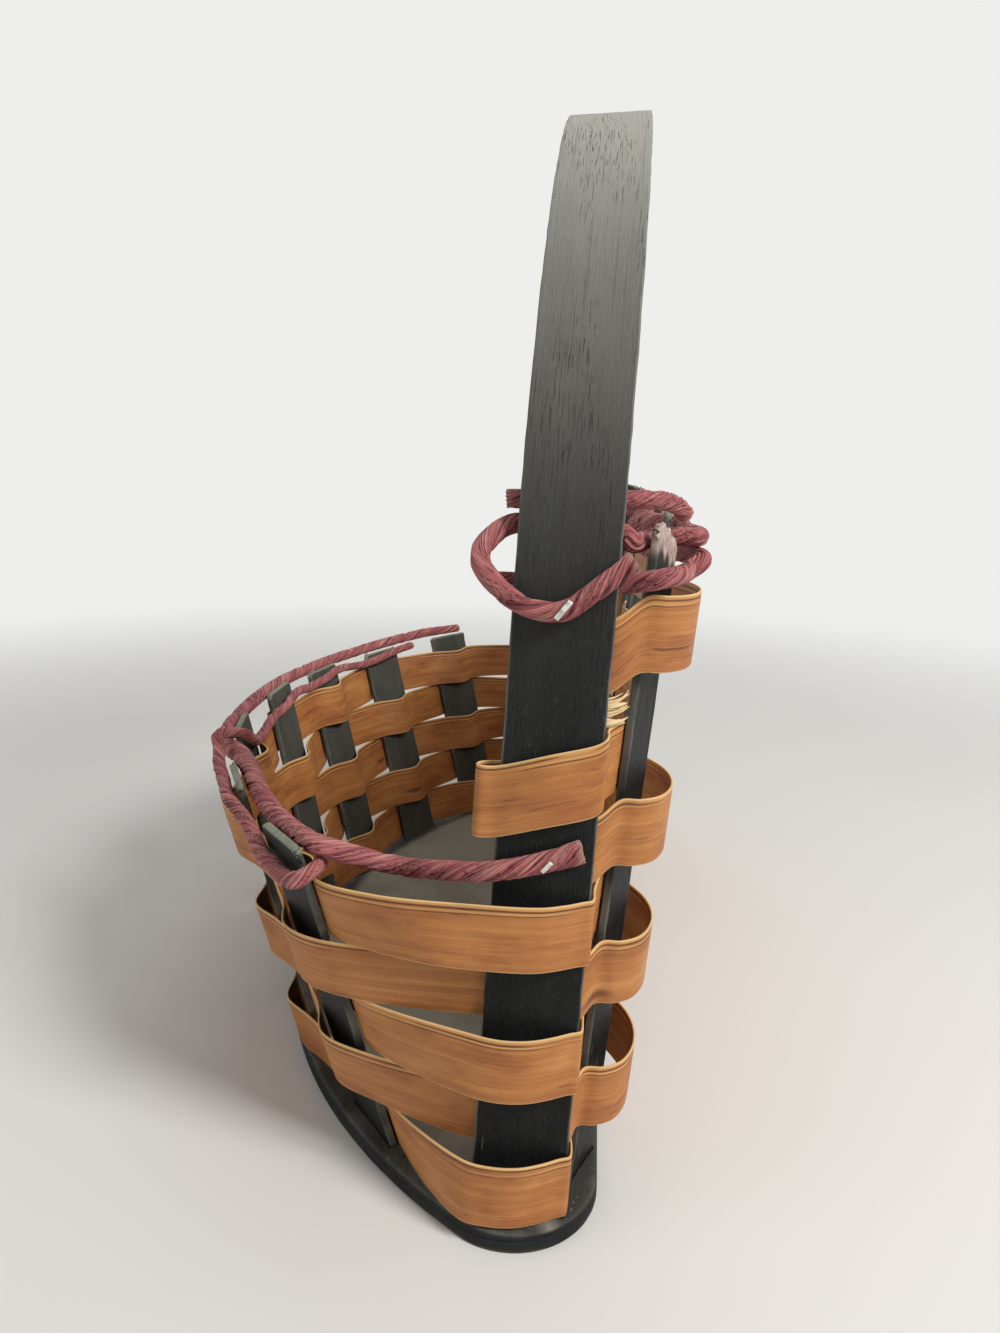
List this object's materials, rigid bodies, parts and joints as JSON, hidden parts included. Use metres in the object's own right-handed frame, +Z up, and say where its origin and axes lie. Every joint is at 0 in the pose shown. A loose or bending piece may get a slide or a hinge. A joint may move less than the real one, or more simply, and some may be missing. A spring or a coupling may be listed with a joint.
{
  "type": "handled splint basket",
  "caption": "Half-moon woven splint basket with a tip-to-tip hoop handle, wooden base, painted stakes and twisted rope binding at the rims.",
  "frame": {"origin": "bottom centre of the whole basket, on the plane that it stands on", "axes": "+Z up, X along the basket from tip to tip, -Y the bulging front, +Y the taller back"},
  "size_m": [0.443, 0.225, 0.4237],
  "materials": {
    "board": "matt black paint, dusty and worn",
    "black_wood": "satin black paint over open grain",
    "splint": "tan stained splint, satin",
    "rope": "mauve dyed twisted fibre",
    "staple": "bright wire"
  },
  "bodies": {
    "root": {"base_board": "board", "handle_hoop": "black_wood", "front_stake_1": "black_wood", "front_stake_2": "black_wood", "front_stake_3": "black_wood", "front_stake_4": "black_wood", "front_stake_5": "black_wood", "front_stake_6": "black_wood", "front_stake_7": "black_wood", "back_stake_1": "black_wood", "back_stake_2": "black_wood", "back_stake_3": "black_wood", "back_stake_4": "black_wood", "back_stake_5": "black_wood", "back_stake_6": "black_wood", "back_stake_7": "black_wood", "splint_row_1": "splint", "splint_row_2": "splint", "splint_row_3": "splint", "splint_row_4": "splint", "splint_row_5": "splint", "back_splint_6": "splint", "back_splint_7": "splint", "back_splint_8": "splint", "torn_splint_end": "splint", "front_rim_rope": "rope", "front_whip_rope": "rope", "back_rope_upper": "rope", "back_rope_lower": "rope", "back_lash_rope": "rope", "ring_staple": "staple", "rim_rope_staple": "staple", "far_leg_staple": "staple"}
  },
  "joints": []
}
